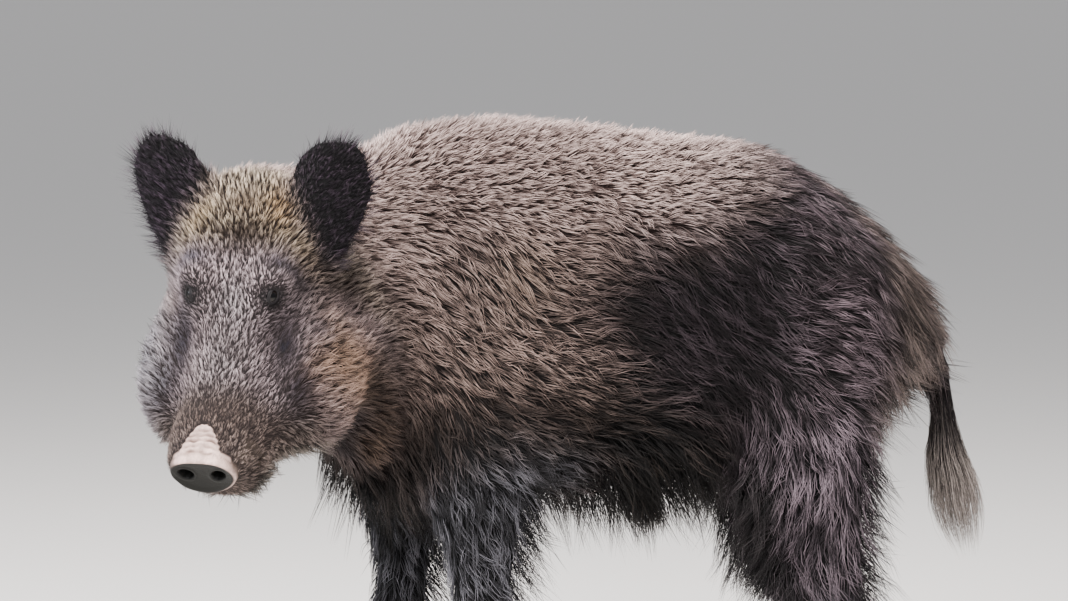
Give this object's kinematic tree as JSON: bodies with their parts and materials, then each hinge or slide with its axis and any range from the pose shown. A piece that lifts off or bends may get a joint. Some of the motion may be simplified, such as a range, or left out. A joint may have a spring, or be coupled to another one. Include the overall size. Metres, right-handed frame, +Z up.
{
  "type": "wild boar",
  "caption": "Life-size still model of a standing adult wild boar, head lowered and turned to its left, in a bristly grizzled coat with a tufted tail.",
  "frame": {"origin": "middle of the whole animal seen from above, on the floor that its hooves stand on", "axes": "+X from tail to breast, +Y to the left side of the animal, +Z up"},
  "size_m": [1.3734, 0.557, 0.9],
  "materials": {
    "body_coat": "dense bristly coat, dark brown with pale cream tips",
    "head_coat": "short coat, grizzled grey-brown with tan cheeks",
    "leg_coat": "near-black bristles with grey strands",
    "ear_coat": "short soft dark brown hair",
    "brush_hair": "long loose grey-brown hair",
    "snout_skin": "bare moist wrinkled skin",
    "eye": "wet, clear, dark brown",
    "horn": "worn dark horn"
  },
  "bodies": {
    "root": {"eye_left": "eye", "ear_left": "ear_coat", "eye_right": "eye", "ear_right": "ear_coat", "hoof_foreleg_left_inner": "horn", "dewclaw_foreleg_left_inner": "horn", "hoof_foreleg_left_outer": "horn", "dewclaw_foreleg_left_outer": "horn", "foreleg_left_foot": "leg_coat", "foreleg_left_cannon": "leg_coat", "foreleg_left_upper": "leg_coat", "hoof_hindleg_left_inner": "horn", "dewclaw_hindleg_left_inner": "horn", "hoof_hindleg_left_outer": "horn", "dewclaw_hindleg_left_outer": "horn", "hindleg_left_foot": "leg_coat", "hindleg_left_cannon": "leg_coat", "hindleg_left_upper": "leg_coat", "hoof_foreleg_right_inner": "horn", "dewclaw_foreleg_right_inner": "horn", "hoof_foreleg_right_outer": "horn", "dewclaw_foreleg_right_outer": "horn", "foreleg_right_foot": "leg_coat", "foreleg_right_cannon": "leg_coat", "foreleg_right_upper": "leg_coat", "hoof_hindleg_right_inner": "horn", "dewclaw_hindleg_right_inner": "horn", "hoof_hindleg_right_outer": "horn", "dewclaw_hindleg_right_outer": "horn", "hindleg_right_foot": "leg_coat", "hindleg_right_cannon": "leg_coat", "hindleg_right_upper": "leg_coat", "tail_brush": "brush_hair", "belly_brush": "brush_hair", "lower_jaw": "head_coat", "snout": "snout_skin", "head": "head_coat", "neck": "body_coat", "tail_dock": "body_coat", "chest": "body_coat", "barrel": "body_coat", "rump": "body_coat"}
  },
  "joints": []
}
